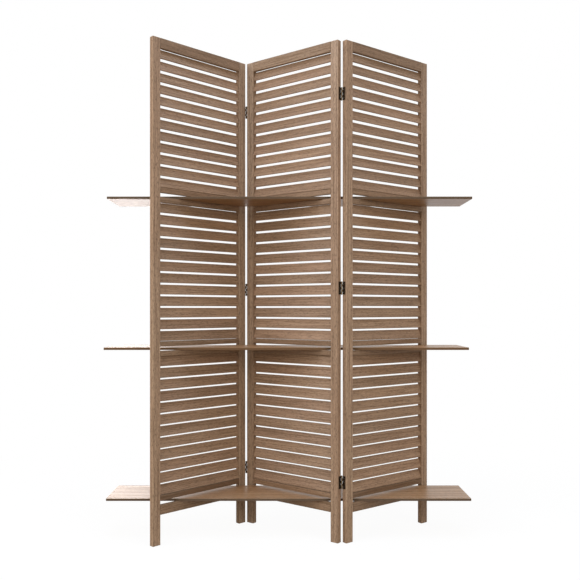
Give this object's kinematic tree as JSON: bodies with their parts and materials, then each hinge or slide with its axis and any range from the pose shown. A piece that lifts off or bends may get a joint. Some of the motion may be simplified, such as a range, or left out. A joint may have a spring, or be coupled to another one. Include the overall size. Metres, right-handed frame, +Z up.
{
  "type": "folding screen with shelves",
  "caption": "Folding wood screen of hinged louvred panels in a zigzag, with straight shelf boards threaded through slots in the panels.",
  "frame": {"origin": "on the floor, under the middle of the screen's bounding box as it stands in the picture", "axes": "+Z up, +X along the shelf boards to the viewer's right, -Y towards the viewer"},
  "size_m": [1.261, 0.2877, 1.7],
  "materials": {
    "stile_wood": "washed brown wood with fine upright grain, satin",
    "rail_wood": "washed brown wood with fine level grain, satin",
    "slat_wood": "washed brown wood with fine level grain, satin",
    "shelf_wood": "washed brown wood with fine level grain, satin",
    "dark_metal": "dark bronze, satin",
    "pin_metal": "dark bronze, satin"
  },
  "bodies": {
    "middle_panel": {"middle_stile_left": "stile_wood", "middle_stile_right": "stile_wood", "middle_top_rail": "rail_wood", "middle_upper_slot_head": "rail_wood", "middle_upper_slot_sill": "rail_wood", "middle_middle_slot_head": "rail_wood", "middle_middle_slot_sill": "rail_wood", "middle_lower_slot_head": "rail_wood", "middle_bottom_rail": "rail_wood", "middle_upper_louvre": "slat_wood", "middle_middle_louvre": "slat_wood", "middle_lower_louvre": "slat_wood", "left_hinge_top_leaf_inner": "dark_metal", "left_hinge_top_pin": "pin_metal", "left_hinge_middle_leaf_inner": "dark_metal", "left_hinge_middle_pin": "pin_metal", "left_hinge_bottom_leaf_inner": "dark_metal", "left_hinge_bottom_pin": "pin_metal", "right_hinge_top_leaf_inner": "dark_metal", "right_hinge_top_pin": "pin_metal", "right_hinge_middle_leaf_inner": "dark_metal", "right_hinge_middle_pin": "pin_metal", "right_hinge_bottom_leaf_inner": "dark_metal", "right_hinge_bottom_pin": "pin_metal"},
    "left_panel": {"left_stile_left": "stile_wood", "left_stile_right": "stile_wood", "left_top_rail": "rail_wood", "left_upper_slot_head": "rail_wood", "left_upper_slot_sill": "rail_wood", "left_middle_slot_head": "rail_wood", "left_middle_slot_sill": "rail_wood", "left_lower_slot_head": "rail_wood", "left_bottom_rail": "rail_wood", "left_upper_louvre": "slat_wood", "left_middle_louvre": "slat_wood", "left_lower_louvre": "slat_wood", "left_hinge_top_leaf_outer": "dark_metal", "left_hinge_middle_leaf_outer": "dark_metal", "left_hinge_bottom_leaf_outer": "dark_metal"},
    "right_panel": {"right_stile_left": "stile_wood", "right_stile_right": "stile_wood", "right_top_rail": "rail_wood", "right_upper_slot_head": "rail_wood", "right_upper_slot_sill": "rail_wood", "right_middle_slot_head": "rail_wood", "right_middle_slot_sill": "rail_wood", "right_lower_slot_head": "rail_wood", "right_bottom_rail": "rail_wood", "right_upper_louvre": "slat_wood", "right_middle_louvre": "slat_wood", "right_lower_louvre": "slat_wood", "right_hinge_top_leaf_outer": "dark_metal", "right_hinge_middle_leaf_outer": "dark_metal", "right_hinge_bottom_leaf_outer": "dark_metal"},
    "lower_board": {"lower_shelf": "shelf_wood"},
    "middle_board": {"middle_shelf": "shelf_wood"},
    "upper_board": {"upper_shelf": "shelf_wood"}
  },
  "joints": [
    {"name": "right_fold", "type": "hinge", "parent": "middle_panel", "child": "right_panel", "pos_m": [0.18254, -0.09634, 0.85], "axis": [0, 0, 1], "range_deg": [0, 103.4]},
    {"name": "left_fold", "type": "hinge", "parent": "middle_panel", "child": "left_panel", "pos_m": [-0.15454, 0.13085, 0.85], "axis": [0, 0, 1], "range_deg": [0, 97]},
    {"name": "shelf_turn", "type": "hinge", "parent": "middle_panel", "child": "lower_board", "pos_m": [0.014, 0.01725, 0.13855], "axis": [0, 0, 1], "range_deg": [0, 51.8]},
    {"name": "middle_shelf_slide", "type": "slide", "parent": "lower_board", "child": "middle_board", "axis": [1, 0, 0], "range_m": [-1.1, 1.15]},
    {"name": "upper_shelf_slide", "type": "slide", "parent": "lower_board", "child": "upper_board", "axis": [1, 0, 0], "range_m": [-1.1, 1.15]}
  ],
  "couplings": [
    {"joint": "left_fold", "follows": "right_fold", "ratio": 0.938},
    {"joint": "shelf_turn", "follows": "right_fold", "ratio": 0.5}
  ]
}
